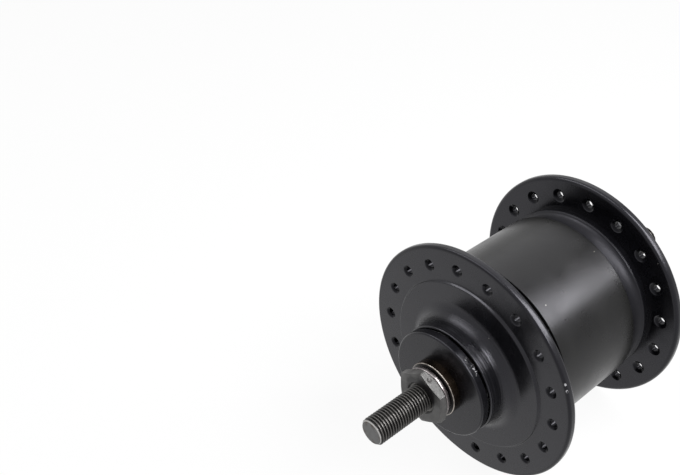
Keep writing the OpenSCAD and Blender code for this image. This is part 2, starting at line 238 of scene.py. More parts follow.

# Axle metal, with painted highlights on the thread crests and the bevel; the bands are measured from the
# thread's outside radius and from the axle's end
AXLE_DARK = (0.012, 0.0115, 0.0115)
AXLE_LIGHT = (0.033, 0.032, 0.031)
AXLE_ROUGH = (0.3, 0.48)
CREST_HIGHLIGHT = (0.13, 0.124, 0.118)
CREST_HIGHLIGHT_BAND = (-0.14, -0.03)
CREST_HIGHLIGHT_COVER = 0.75
BEVEL_HIGHLIGHT = (0.5, 0.49, 0.48)
BEVEL_HIGHLIGHT_BAND = (-0.42, -0.34)
BEVEL_HIGHLIGHT_COVER = 0.8
END_GREY = (0.1, 0.1, 0.1)
END_RUST = (0.06, 0.042, 0.03)
END_BAND = (-0.12, -0.03)

# Fine grain and noise: depths of the grain, size and spread for plain stuff, usual levels of noise
GRAIN_DEEP = 0.04
STEEL_GRAIN_DEEP = 0.03
PLAIN_SCALE = 240.0
PLAIN_SPREAD = 0.07
NOISE_RANGE = (0.3, 0.7)

# Camera, fitted to the photograph's spoke holes and rims; the clip distances are in metres
CAMERA_AT = (-143.68, 187.89, 200.33)
CAMERA_AIM = (-11.06, 44.96, 43.85)
CAMERA_ROLL = 1.209
LENS = 48.848
SENSOR = 36.0
SHIFT_X = -0.1769
SHIFT_Y = 0.0837
CLIP_START = 0.01
CLIP_END = 20.0

# Plain surroundings, where white is 1; the floor's half width is in metres
SKY_LIGHT = 0.1
BACKDROP = 0.935
FLOOR_GLOW = 0.93
FLOOR_GREY = 0.65
FLOOR_ROUGH = 0.9
FLOOR_HALF = 3.0

# Sockets of Blender's Mix node that hold colours
MIX_COLOURS = (6, 7)
MIX_RESULT = 2


# Mesh building
def arc(centre, r, start, end, steps=8):
    """Points of an arc in an outline."""
    points = []
    for i in range(steps + 1):
        a = math.radians(start + (end - start) * i / steps)
        points.append((centre[0] + r * math.cos(a), centre[1] + r * math.sin(a)))
    return points


def spot(r, s, a, side):
    """The place at a radius, a distance along the axle and an angle in radians, on side 1 or -1."""
    return (r * MM * math.cos(a), side * s * MM, r * MM * math.sin(a))


def band(bm, low, high):
    """Faces between two closed rings of vertices."""
    for i in range(len(low)):
        k = (i + 1) % len(low)
        bm.faces.new((low[i], low[k], high[k], high[i]))


def shade(obj, angle=SHARP_ANGLE):
    """Smooth shading that keeps the edges sharper than an angle."""
    obj.data.shade_smooth()
    obj.data.set_sharp_from_angle(angle=math.radians(angle))
    weights = obj.modifiers.new("even_shading", "WEIGHTED_NORMAL")
    weights.keep_sharp = True


def new_object(name, bm, angle=SHARP_ANGLE):
    """A smooth-shaded mesh object with its hard edges kept."""
    bmesh.ops.remove_doubles(bm, verts=bm.verts, dist=MERGE)
    bmesh.ops.recalc_face_normals(bm, faces=bm.faces)
    mesh = bpy.data.meshes.new(name)
    bm.to_mesh(mesh)
    bm.free()
    obj = bpy.data.objects.new(name, mesh)
    bpy.context.scene.collection.objects.link(obj)
    shade(obj, angle)
    return obj


def lathe(name, outline, side=1):
    """Turns a closed outline of (radius, distance along the axle) about the axle."""
    bm = bmesh.new()
    rings = []
    for i in range(LATHE_STEPS):
        a = 2 * math.pi * i / LATHE_STEPS
        rings.append([bm.verts.new(spot(r, s, a, side)) for r, s in outline])
    for here, there in zip(rings, rings[1:] + rings[:1]):
        band(bm, here, there)
    return new_object(name, bm)


def applied(obj):
    """Replaces an object's mesh by what its modifiers make."""
    graph = bpy.context.evaluated_depsgraph_get()
    mesh = bpy.data.meshes.new_from_object(obj.evaluated_get(graph))
    obj.modifiers.clear()
    obj.data = mesh


# Pieces
def spoke_cutters(side, turn):
    """All the countersunk holes of one flange as one cutting mesh."""
    in_r = SINK_IN_R + SINK_LIP
    out_r = SINK_OUT_R + SINK_LIP
    outline = [
        (in_r + CUT_OVER, FLANGE_IN - CUT_OVER), (in_r, FLANGE_IN),
        (SINK_IN_R, FLANGE_IN + SINK_LIP), (HOLE_R, FLANGE_IN + SINK_IN_DEEP),
        (HOLE_R, FLANGE_OUT - SINK_OUT_DEEP), (SINK_OUT_R, FLANGE_OUT - SINK_LIP),
        (out_r, FLANGE_OUT), (out_r + CUT_OVER, FLANGE_OUT + CUT_OVER),
    ]
    bm = bmesh.new()
    for n in range(SPOKES):
        spin = math.radians(turn + 360 * n / SPOKES)
        cx = SPOKE_CIRCLE_R * math.cos(spin)
        cz = SPOKE_CIRCLE_R * math.sin(spin)
        rings = []
        for r, s in outline:
            ring = []
            for i in range(HOLE_STEPS):
                a = 2 * math.pi * i / HOLE_STEPS
                x = cx + r * math.cos(a)
                z = cz + r * math.sin(a)
                ring.append(bm.verts.new((x * MM, side * s * MM, z * MM)))
            rings.append(ring)
        for low, high in zip(rings, rings[1:]):
            band(bm, low, high)
        bm.faces.new(rings[0])
        bm.faces.new(rings[-1])
    return new_object("spoke_cutters", bm)


def neck_sweep(steps=12):
    """Outline points of the hollow between the neck and its pad, most of a quarter of an ellipse."""
    points = []
    for i in range(steps + 1):
        a = math.radians(NECK_SWEEP_END * i / steps)
        r = NECK_R + NECK_FILLET * (1 - math.cos(a))
        points.append((r, PAD_IN - NECK_SWEEP + NECK_SWEEP * math.sin(a)))
    return points


def step_flank():
    """Outline points of the raised step's edge: a rounded foot, a straight flank and a rounded top."""
    slope = math.radians(STEP_SLOPE)
    high = FACE_OUT - FLANGE_OUT - 2 * STEP_EDGE * (1 - math.cos(slope))
    off = high / math.tan(slope) / 2 + math.sin(slope) * STEP_EDGE
    foot = (STEP_MID_R + off, FLANGE_OUT + STEP_EDGE)
    top = (STEP_MID_R - off, FACE_OUT - STEP_EDGE)
    foot_arc = arc(foot, STEP_EDGE, -90, -90 - STEP_SLOPE, steps=6)
    return foot_arc + arc(top, STEP_EDGE, 90 - STEP_SLOPE, 90)


def end_bell(name, side, turn):
    """One flange with its neck, step, boss and drilled rim."""
    pad_r = NECK_R + NECK_FILLET
    outline = [(CAVITY_R, SPIGOT_IN), (NECK_R, SPIGOT_IN)]
    outline += neck_sweep()
    outline += arc((pad_r - PAD_EDGE, PAD_IN + PAD_EDGE), PAD_EDGE, -90, 0, steps=4)
    outline += [(pad_r, FLANGE_IN)]
    outline += arc((FLANGE_R - RIM_ROUND, FLANGE_IN + RIM_ROUND), RIM_ROUND, -90, 0)
    outline += arc((FLANGE_R - RIM_EDGE, FLANGE_OUT - RIM_EDGE), RIM_EDGE, 0, 90, steps=5)
    outline += step_flank()
    outline += arc((BOSS_R + BOSS_FILLET, FACE_OUT + BOSS_FILLET), BOSS_FILLET, -90, -180, steps=14)
    outline += arc((BOSS_R - BOSS_EDGE, BOSS_END - BOSS_EDGE), BOSS_EDGE, 0, 90, steps=5)
    outline += [(SEAT_R, BOSS_END), (SEAT_R, SEAT_IN), (LIP_R, SEAT_IN)]
    outline += [(LIP_R, WEB_IN), (CAVITY_R, WEB_IN)]
    bell = lathe(name, outline, side)
    cutters = spoke_cutters(side, turn)
    bell.modifiers.clear()
    cut = bell.modifiers.new("spoke_holes", "BOOLEAN")
    cut.operation = "DIFFERENCE"
    cut.solver = "EXACT"
    cut.object = cutters
    applied(bell)
    bpy.data.objects.remove(cutters)
    shade(bell)
    return bell


def barrel(name):
    """The tube between the flanges."""
    outline = [(NECK_R, -BARREL_END)]
    outline += arc((BARREL_R - BARREL_EDGE, BARREL_EDGE - BARREL_END), BARREL_EDGE, -90, 0, steps=4)
    outline += arc((BARREL_R - BARREL_EDGE, BARREL_END - BARREL_EDGE), BARREL_EDGE, 0, 90, steps=4)
    outline += [(NECK_R, BARREL_END)]
    return lathe(name, outline)


def dust_cap(name, side):
    """A cap with a hub on the cone, a skin in front and a rim round its edge."""
    bore_r = CONE_R + CAP_FIT
    hub_r = CONE_R + CAP_HUB_WALL
    rim_r = CAP_R - CAP_RIM_WALL
    outline = [(bore_r, CAP_IN), (hub_r, CAP_IN), (hub_r, CAP_OUT - CAP_SKIN)]
    outline += [(rim_r, CAP_OUT - CAP_SKIN), (rim_r, CAP_IN)]
    outline += arc((CAP_R - CAP_BACK_EDGE, CAP_IN + CAP_BACK_EDGE), CAP_BACK_EDGE, -90, 0, steps=3)
    outline += arc((CAP_R - CAP_ROUND, CAP_OUT - CAP_ROUND), CAP_ROUND, 0, 90, steps=6)
    outline += [(bore_r, CAP_OUT)]
    return lathe(name, outline, side)


def lock_washer(name, side):
    """A plain washer with rounded edges."""
    outline = [(BORE_R, WASHER_IN)]
    outline += arc((WASHER_R - WASHER_EDGE, WASHER_IN + WASHER_EDGE), WASHER_EDGE, -90, 0, steps=3)
    outline += arc((WASHER_R - WASHER_EDGE, NUT_IN - WASHER_EDGE), WASHER_EDGE, 0, 90, steps=3)
    outline += [(BORE_R, NUT_IN)]
    return lathe(name, outline, side)


def bearing_cone(name, side, tip, end):
    """A cone with its ball race, a round barrel and a bevelled front."""
    edge_at = end - CONE_BEVEL_LONG - CONE_EDGE
    outline = [(BORE_R, tip), (CONE_TIP_R, tip)]
    outline += arc((BALL_CIRCLE_R, tip + RACE_FROM_TIP), RACE_R, RACE_START, RACE_END)
    outline += arc((CONE_R - CONE_EDGE, edge_at), CONE_EDGE, 0, CONE_EDGE_TURN, steps=4)
    outline += [(CONE_R - CONE_BEVEL_DEEP, end), (BORE_R, end)]
    return lathe(name, outline, side)


def locknut(name, side):
    """A hex locknut with turned-off corners, a countersunk bore and a dot stamped in one flat."""
    corner_r = NUT_AF / math.sqrt(3)
    face_r = NUT_AF / 2 - NUT_FACE_INSET
    front_slope = math.tan(math.radians(NUT_FRONT_BEVEL))
    back_slope = math.tan(math.radians(NUT_BACK_BEVEL))
    bm = bmesh.new()
    columns = []
    for i in range(6 * NUT_FLAT_STEPS):
        a = 60.0 * i / NUT_FLAT_STEPS
        off = math.radians(a % 60 - 30)
        hex_r = min(NUT_AF / 2 / math.cos(off), corner_r - NUT_CORNER_CUT)
        dotted = i // NUT_FLAT_STEPS == DOT_FLAT
        first = NUT_IN + (hex_r - face_r) * back_slope
        last = NUT_OUT - (hex_r - face_r) * front_slope
        outline = [(BORE_R, NUT_IN), (face_r - NUT_EDGE_WIDE, NUT_IN), (face_r, NUT_IN + NUT_EDGE_DEEP)]
        for j in range(NUT_ROWS + 1):
            s = first + (last - first) * j / NUT_ROWS
            from_dot = math.hypot(hex_r * math.sin(off) - DOT_ALONG, s - NUT_MIDDLE)
            dent = max(0.0, 1 - (from_dot / DOT_R) ** 2) * DOT_DEEP if dotted else 0.0
            outline.append((hex_r - dent, s))
        outline += [(face_r, NUT_OUT - NUT_EDGE_DEEP), (face_r - NUT_EDGE_WIDE, NUT_OUT)]
        outline += [(BORE_R + NUT_SINK, NUT_OUT), (BORE_R, NUT_OUT - NUT_SINK)]
        turn = math.radians(NUT_TURN + a)
        columns.append([bm.verts.new(spot(r, s, turn, side)) for r, s in outline])
    for here, there in zip(columns, columns[1:] + columns[:1]):
        band(bm, here, there)
    return new_object(name, bm, NUT_SHARP_ANGLE)


def thread_end(name, side):
    """A threaded axle end from inside the locknut to the bevelled tip."""
    long = AXLE_END - THREAD_START
    rows = int(long / THREAD_PITCH * THREAD_ROWS)
    angles = [2 * math.pi * i / THREAD_STEPS for i in range(THREAD_STEPS)]
    bm = bmesh.new()
    rings = []
    for j in range(rows + 1):
        s = THREAD_START + long * j / rows
        bevel_r = AXLE_R - AXLE_BEVEL + (AXLE_END - s)
        ring = []
        for i, a in enumerate(angles):
            turn = (s / THREAD_PITCH - side * i / THREAD_STEPS) % 1.0
            rise = min(1.0, max(0.0, THREAD_CREST - abs(2 * turn - 1) * THREAD_FLANK))
            r = min(AXLE_R - THREAD_DEPTH * (1 - rise), bevel_r)
            ring.append(bm.verts.new(spot(r, s, a, side)))
        rings.append(ring)
    tip_r = AXLE_R - AXLE_BEVEL - TIP_RING
    rings.append([bm.verts.new(spot(tip_r, AXLE_END, a, side)) for a in angles])
    for low, high in zip(rings, rings[1:]):
        band(bm, low, high)
    bm.faces.new(rings[-1])
    bm.faces.new(rings[0])
    return new_object(name, bm)


def axle_middle(name):
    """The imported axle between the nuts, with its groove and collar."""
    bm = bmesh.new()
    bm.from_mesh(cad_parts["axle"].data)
    bmesh.ops.remove_doubles(bm, verts=bm.verts, dist=AXLE_MERGE)
    for side in (1, -1):
        cut = bmesh.ops.bisect_plane(
            bm, geom=bm.verts[:] + bm.edges[:] + bm.faces[:],
            plane_co=(0, side * THREAD_START * MM, 0), plane_no=(0, side, 0), clear_outer=True,
        )
        rim = [e for e in cut["geom_cut"] if isinstance(e, bmesh.types.BMEdge)]
        bmesh.ops.contextual_create(bm, geom=rim)
    return new_object(name, bm)


# Shader building
def material(name):
    """A new material with its node tree and main shader."""
    mat = bpy.data.materials.new(name)
    mat.use_nodes = True
    tree = mat.node_tree
    return mat, tree, tree.nodes["Principled BSDF"]


def link(tree, out, into):
    """Joins an output to an input."""
    tree.links.new(out, into)


def add(tree, kind, **settings):
    """A new node with some settings."""
    made = tree.nodes.new(kind)
    for key, value in settings.items():
        setattr(made, key, value)
    return made


def place(tree):
    """Position on the part, in metres."""
    return add(tree, "ShaderNodeTexCoord").outputs["Object"]


def split(tree, where):
    """X, Y and Z of a position."""
    parts = add(tree, "ShaderNodeSeparateXYZ")
    link(tree, where, parts.inputs[0])
    return parts.outputs["X"], parts.outputs["Y"], parts.outputs["Z"]


def noise(tree, where, scale, detail=4.0, rough=0.55):
    """Soft noise about the level 0.5."""
    made = add(tree, "ShaderNodeTexNoise")
    made.inputs["Scale"].default_value = scale
    made.inputs["Detail"].default_value = detail
    made.inputs["Roughness"].default_value = rough
    link(tree, where, made.inputs["Vector"])
    return made.outputs["Fac"]


def stretch(tree, value, low, high, to_low=0.0, to_high=1.0):
    """Maps low..high to to_low..to_high and stops at both ends."""
    made = add(tree, "ShaderNodeMapRange")
    made.inputs["From Min"].default_value = low
    made.inputs["From Max"].default_value = high
    made.inputs["To Min"].default_value = to_low
    made.inputs["To Max"].default_value = to_high
    link(tree, value, made.inputs["Value"])
    return made.outputs["Result"]


def patches(tree, where, low, high, scale, detail=4.0, rough=0.55, least=0.0):
    """Patches of noise: the least value below its level low, and 1 above its level high."""
    return stretch(tree, noise(tree, where, scale, detail, rough), low, high, least, 1.0)


def smears(tree, where, levels, scale, detail=4.0):
    """Roughness in patches between two levels."""
    return stretch(tree, noise(tree, where, scale, detail), *NOISE_RANGE, *levels)


def fade(tree, length, base, reach, to_low=0.0, to_high=1.0):
    """As stretch, for a length between two places that are given in millimetres from a base."""
    return stretch(tree, length, (base + reach[0]) * MM, (base + reach[1]) * MM, to_low, to_high)


def calc(tree, operation, a, b=None):
    """One step of arithmetic on numbers or outputs."""
    made = add(tree, "ShaderNodeMath", operation=operation)
    for i, value in enumerate((a, b)):
        if value is None:
            continue
        if isinstance(value, (int, float)):
            made.inputs[i].default_value = value
        else:
            link(tree, value, made.inputs[i])
    return made.outputs[0]


def times(tree, first, *others):
    """The product of some outputs and numbers."""
    product = first
    for value in others:
        product = calc(tree, "MULTIPLY", product, value)
    return product


def mix(tree, factor, a, b):
    """Mixes two colours, each a colour or another mix's output."""
    made = add(tree, "ShaderNodeMix", data_type="RGBA")
    link(tree, factor, made.inputs[0])
    for i, value in zip(MIX_COLOURS, (a, b)):
        if isinstance(value, tuple):
            made.inputs[i].default_value = (*value, 1.0)
        else:
            link(tree, value, made.inputs[i])
    return made.outputs[MIX_RESULT]


def bump(tree, shader, height, strength, deep):
    """Relief from a height, whose depth is in millimetres."""
    made = add(tree, "ShaderNodeBump")
    made.inputs["Strength"].default_value = strength
    made.inputs["Distance"].default_value = deep * MM
    link(tree, height, made.inputs["Height"])
    link(tree, made.outputs["Normal"], shader.inputs["Normal"])


def turned(tree, where):
    """Radius, distance along the axle, and both as a position that is the same all round the axle."""
    x, y, z = split(tree, where)
    radius = calc(tree, "SQRT", calc(tree, "ADD", times(tree, x, x), times(tree, z, z)))
    along = calc(tree, "ABSOLUTE", y)
    rings = add(tree, "ShaderNodeCombineXYZ")
    link(tree, radius, rings.inputs["X"])
    link(tree, along, rings.inputs["Y"])
    return radius, along, rings.outputs[0]


def specks(tree, where, scale, size, share, cover):
    """A mask of small scattered dots, one in each chosen cell, that cover what is under them in part."""
    cells = add(tree, "ShaderNodeTexVoronoi")
    cells.inputs["Scale"].default_value = scale
    link(tree, where, cells.inputs["Vector"])
    inside = calc(tree, "LESS_THAN", cells.outputs["Distance"], size)
    pick = add(tree, "ShaderNodeSeparateColor")
    link(tree, cells.outputs["Color"], pick.inputs[0])
    chosen = calc(tree, "LESS_THAN", pick.outputs[0], share)
    return times(tree, inside, chosen, cover)


def near(tree, where, point, size):
    """A soft mask round one point of the part, in millimetres."""
    far = add(tree, "ShaderNodeVectorMath", operation="DISTANCE")
    link(tree, where, far.inputs[0])
    far.inputs[1].default_value = Vector(point) * MM
    return fade(tree, far.outputs["Value"], 0.0, (size, MARK_CORE * size))


def on_neck(tree, along, elsewhere, there):
    """One value on the neck and another elsewhere, with a soft change at the pad."""
    return fade(tree, along, PAD_IN, (NECK_SOFT, -NECK_SOFT), elsewhere, there)


def seen(tree):
    """1 for rays that look at the background: from the camera, a mirror or a clear piece."""
    path = add(tree, "ShaderNodeLightPath")
    bounced = calc(tree, "MAXIMUM", path.outputs["Is Glossy Ray"], path.outputs["Is Transmission Ray"])
    return calc(tree, "MAXIMUM", path.outputs["Is Camera Ray"], bounced)


# Materials
def black_coat(name, gloss, boss_lines, chips, chip_size, chip_share):
    """Satin black coat with fine turning marks, grain, a little dust and chips at some points."""
    mat, tree, shader = material(name)
    where = place(tree)
    radius, along, rings = turned(tree, where)
    cloud = patches(tree, where, low=0.35, high=0.7, scale=70.0)
    colour = mix(tree, cloud, COAT_DARK, COAT_LIGHT)
    dust = specks(tree, where, scale=300.0, size=0.06, share=0.03, cover=0.4)
    colour = mix(tree, dust, colour, COAT_DUST)
    flaked = patches(tree, where, low=chip_share, high=chip_share + CHIP_SOFT, scale=1500.0, detail=3.0)
    for point in chips:
        chip = times(tree, near(tree, where, point, chip_size), flaked)
        colour = mix(tree, chip, colour, CHIP)
    link(tree, colour, shader.inputs["Base Color"])
    shader.inputs["Specular Tint"].default_value = (*COAT_TINT, 1.0)
    shader.inputs["Specular IOR Level"].default_value = gloss
    smear = smears(tree, where, COAT_ROUGH, scale=160.0, detail=6.0)
    dull = on_neck(tree, along, 0.0, NECK_DULL)
    link(tree, calc(tree, "ADD", smear, dull), shader.inputs["Roughness"])
    boss = fade(tree, radius, BOSS_R, (BOSS_FILLET, BOSS_LINES_FULL), FACE_LINES, boss_lines)
    lines = times(tree, noise(tree, rings, scale=2600.0, detail=2.0), boss)
    fine = noise(tree, where, scale=5200.0, detail=2.0)
    bump(tree, shader, calc(tree, "ADD", lines, fine), strength=1.0, deep=COAT_GRAIN)
    return mat


def shade_hollows(mat, gloss):
    """Takes gloss off the walls of the spoke holes, the neck and the rim, as painted shade there."""
    tree = mat.node_tree
    radius, along, _ = turned(tree, place(tree))
    neck = on_neck(tree, along, 1.0, 1.0 - NECK_SHADE)
    inner = fade(tree, along, FLANGE_IN, (HOLE_SHADE_BEGINS, HOLE_SHADE_FULL))
    outer = fade(tree, along, FLANGE_OUT, (-HOLE_SHADE_BEGINS, -HOLE_SHADE_FULL))
    off_rim = fade(tree, radius, FLANGE_R, (-RIM_ROUND, -2 * RIM_ROUND))
    walls = times(tree, inner, outer, off_rim, HOLE_SHADE)
    rim = fade(tree, radius, FLANGE_R, (-RIM_ROUND, -RIM_ROUND / 2), 1.0, 1.0 - RIM_SHADE)
    level = times(tree, neck, calc(tree, "SUBTRACT", 1.0, walls), rim, gloss)
    link(tree, level, tree.nodes["Principled BSDF"].inputs["Specular IOR Level"])


def barrel_coat(name):
    """Rougher satin black with soft dents, a warm cast and dust."""
    mat, tree, shader = material(name)
    where = place(tree)
    cloud = patches(tree, where, low=0.35, high=0.68, scale=45.0, detail=5.0)
    colour = mix(tree, cloud, BARREL_DARK, BARREL_LIGHT)
    dust = specks(tree, where, scale=230.0, size=0.055, share=0.16, cover=0.6)
    colour = mix(tree, dust, colour, BARREL_DUST)
    link(tree, colour, shader.inputs["Base Color"])
    shader.inputs["Specular Tint"].default_value = (*BARREL_TINT, 1.0)
    shader.inputs["Specular IOR Level"].default_value = BARREL_GLOSS
    smear = smears(tree, where, BARREL_ROUGH, scale=110.0, detail=6.0)
    link(tree, smear, shader.inputs["Roughness"])
    dents = times(tree, noise(tree, where, scale=55.0, detail=2.0), BARREL_DENTS)
    fine = noise(tree, where, scale=4200.0, detail=3.0)
    bump(tree, shader, calc(tree, "ADD", dents, fine), strength=0.22, deep=0.06)
    return mat


def metal(name, dark, light, rough, spread, scale, grain):
    """Metal with stains, uneven gloss and fine grain."""
    mat, tree, shader = material(name)
    where = place(tree)
    stain = patches(tree, where, low=0.36, high=0.66, scale=scale, detail=6.0, rough=0.6)
    link(tree, mix(tree, stain, dark, light), shader.inputs["Base Color"])
    shader.inputs["Metallic"].default_value = 1.0
    smear = smears(tree, where, (rough - spread, rough + spread), scale=scale * 2.3, detail=5.0)
    link(tree, smear, shader.inputs["Roughness"])
    fine = noise(tree, where, scale=scale * 14.0, detail=3.0)
    bump(tree, shader, fine, strength=grain, deep=GRAIN_DEEP)
    return mat


def plain(name, dark, light, rough, grain):
    """Plastic, rubber or ferrite with a moulded grain."""
    mat, tree, shader = material(name)
    where = place(tree)
    cloud = patches(tree, where, low=0.35, high=0.65, scale=PLAIN_SCALE)
    link(tree, mix(tree, cloud, dark, light), shader.inputs["Base Color"])
    smear = smears(tree, where, (rough - PLAIN_SPREAD, rough + PLAIN_SPREAD), scale=PLAIN_SCALE * 2.0)
    link(tree, smear, shader.inputs["Roughness"])
    fine = noise(tree, where, scale=PLAIN_SCALE * 16.0, detail=2.0)
    bump(tree, shader, fine, strength=grain, deep=GRAIN_DEEP)
    return mat


def nut_metal(name):
    """Dull grey plating, stained, with a black ring round the thread that reaches further above the
    axle, and grime in the dot.
    """
    mat, tree, shader = material(name)
    where = place(tree)
    radius, _, _ = turned(tree, where)
    _, _, height = split(tree, where)
    stain = patches(tree, where, low=0.36, high=0.66, scale=210.0, detail=6.0, rough=0.6)
    colour = mix(tree, stain, NUT_DARK, NUT_LIGHT)
    uneven = times(tree, noise(tree, where, scale=330.0, detail=3.0), DARK_RING_UNEVEN * MM)
    above = times(tree, height, DARK_RING_RISE)
    spread = calc(tree, "SUBTRACT", calc(tree, "SUBTRACT", radius, uneven), above)
    dark_ring = fade(tree, spread, 0.0, (DARK_RING_END_R, DARK_RING_FULL_R))
    colour = mix(tree, dark_ring, colour, DARK_RING)
    turn = math.radians(NUT_TURN + 60 * DOT_FLAT + 30)
    dot_x = NUT_AF / 2 * math.cos(turn) - DOT_ALONG * math.sin(turn)
    dot_z = NUT_AF / 2 * math.sin(turn) + DOT_ALONG * math.cos(turn)
    grime = near(tree, where, (dot_x, NUT_MIDDLE, dot_z), DOT_R)
    colour = mix(tree, times(tree, grime, GRIME_COVER), colour, GRIME)
    link(tree, colour, shader.inputs["Base Color"])
    shader.inputs["Metallic"].default_value = 0.2
    smear = smears(tree, where, NUT_ROUGH, scale=480.0, detail=5.0)
    link(tree, smear, shader.inputs["Roughness"])
    fine = noise(tree, where, scale=2900.0, detail=3.0)
    bump(tree, shader, fine, strength=0.12, deep=GRAIN_DEEP)
    return mat


def cone_metal(name):
    """Oily brown bearing steel; the near cone's front edge is painted bright as a painted highlight, and
    its bevel near black as painted shade.
    """
    mat, tree, shader = material(name)
    where = place(tree)
    _, along, rings = turned(tree, where)
    oil = patches(tree, where, low=0.35, high=0.68, scale=190.0, detail=5.0)
    colour = mix(tree, oil, CONE_DARK, CONE_OILY)
    edge_at = LEFT_CONE_END - CONE_BEVEL_LONG
    # The bevel is painted near black, as painted shade of the gap before the washer
    bevel = fade(tree, along, edge_at, CONE_BEVEL_BAND)
    colour = mix(tree, bevel, colour, CONE_BEVEL_SHADE)
    # A bright broken band at the front edge, a painted highlight
    begun = fade(tree, along, edge_at, EDGE_HIGHLIGHT_BEGINS)
    ended = fade(tree, along, edge_at, EDGE_HIGHLIGHT_ENDS)
    edge_highlight = patches(tree, where, low=0.4, high=0.64, scale=260.0, detail=3.0, least=0.3)
    colour = mix(tree, times(tree, begun, ended, edge_highlight), colour, EDGE_HIGHLIGHT)
    link(tree, colour, shader.inputs["Base Color"])
    shader.inputs["Metallic"].default_value = 0.85
    smear = smears(tree, where, CONE_ROUGH, scale=420.0)
    link(tree, smear, shader.inputs["Roughness"])
    fine = noise(tree, rings, scale=3000.0, detail=2.0)
    bump(tree, shader, fine, strength=0.12, deep=STEEL_GRAIN_DEEP)
    return mat


def axle_metal(name):
    """Black-oxide steel with thread crests and a bevel ring painted light as painted highlights, and a
    grey, spotted end face.
    """
    mat, tree, shader = material(name)
    where = place(tree)
    radius, along, _ = turned(tree, where)
    stain = patches(tree, where, low=0.35, high=0.68, scale=300.0, detail=5.0)
    colour = mix(tree, stain, AXLE_DARK, AXLE_LIGHT)
    # Lighter thread crests, a painted highlight
    crest_highlight = fade(tree, radius, AXLE_R, CREST_HIGHLIGHT_BAND, 0.0, CREST_HIGHLIGHT_COVER)
    colour = mix(tree, crest_highlight, colour, CREST_HIGHLIGHT)
    # A light ring on the tip's bevel, a painted highlight
    bevel = fade(tree, along, AXLE_END, BEVEL_HIGHLIGHT_BAND)
    colour = mix(tree, times(tree, bevel, BEVEL_HIGHLIGHT_COVER), colour, BEVEL_HIGHLIGHT)
    rust = patches(tree, where, low=0.52, high=0.66, scale=520.0, detail=3.0)
    grey = mix(tree, rust, END_GREY, END_RUST)
    face = fade(tree, along, AXLE_END, END_BAND)
    link(tree, mix(tree, face, colour, grey), shader.inputs["Base Color"])
    shader.inputs["Metallic"].default_value = 0.75
    smear = smears(tree, where, AXLE_ROUGH, scale=700.0)
    link(tree, smear, shader.inputs["Roughness"])
    fine = noise(tree, where, scale=4200.0, detail=3.0)
    bump(tree, shader, fine, strength=0.15, deep=STEEL_GRAIN_DEEP)
    return mat


def dress(obj, mat):
    """Gives an object one material."""
    obj.data.materials.clear()
    obj.data.materials.append(mat)


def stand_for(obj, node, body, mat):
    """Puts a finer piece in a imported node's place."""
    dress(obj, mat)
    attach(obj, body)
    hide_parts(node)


shell_coat = black_coat("shell_black", gloss=SHELL_GLOSS, boss_lines=BOSS_LINES,
                        chips=RIM_CHIPS, chip_size=0.6, chip_share=0.47)
shade_hollows(shell_coat, SHELL_GLOSS)
cap_coat = black_coat("cap_black", gloss=CAP_GLOSS, boss_lines=FACE_LINES,
                      chips=CAP_SCUFFS, chip_size=1.3, chip_share=0.58)
barrel_black = barrel_coat("barrel_black")
cone_steel = cone_metal("cone_steel")
axle_steel = axle_metal("axle_steel")
nut_steel = nut_metal("nut_steel")
plated_steel = metal("plated_steel", dark=(0.11, 0.095, 0.096), light=(0.33, 0.31, 0.31),
                     rough=0.27, spread=0.06, scale=260.0, grain=0.08)
stator_steel = metal("stator_steel", dark=(0.3, 0.3, 0.31), light=(0.5, 0.5, 0.52),
                     rough=0.4, spread=0.08, scale=180.0, grain=0.2)
bearing_steel = metal("bearing_steel", dark=(0.45, 0.45, 0.46), light=(0.62, 0.62, 0.64),
                      rough=0.26, spread=0.08, scale=220.0, grain=0.1)
ball_steel = metal("ball_steel", dark=(0.66, 0.66, 0.67), light=(0.8, 0.8, 0.82),
                   rough=0.12, spread=0.05, scale=300.0, grain=0.05)
retainer_steel = metal("retainer_steel", dark=(0.4, 0.37, 0.3), light=(0.6, 0.56, 0.46),
                       rough=0.35, spread=0.08, scale=260.0, grain=0.15)
coil_copper = metal("coil_copper", dark=(0.45, 0.2, 0.08), light=(0.7, 0.38, 0.18),
                    rough=0.34, spread=0.08, scale=500.0, grain=0.4)
contact_brass = metal("contact_brass", dark=(0.55, 0.4, 0.14), light=(0.8, 0.62, 0.28),
                      rough=0.28, spread=0.08, scale=300.0, grain=0.12)
magnet_ferrite = plain("magnet_ferrite", dark=(0.11, 0.11, 0.115), light=(0.17, 0.17, 0.175),
                       rough=0.62, grain=0.3)
terminal_plastic = plain("terminal_plastic", dark=(0.018, 0.018, 0.02), light=(0.032, 0.032, 0.034),
                         rough=0.46, grain=0.25)
bobbin_plastic = plain("bobbin_plastic", dark=(0.7, 0.66, 0.55), light=(0.85, 0.82, 0.72),
                       rough=0.5, grain=0.2)
seal_rubber = plain("seal_rubber", dark=(0.015, 0.015, 0.015), light=(0.03, 0.03, 0.03),
                    rough=0.65, grain=0.3)
lead_cover = plain("lead_cover", dark=(0.5, 0.04, 0.035), light=(0.62, 0.07, 0.055),
                   rough=0.5, grain=0.2)

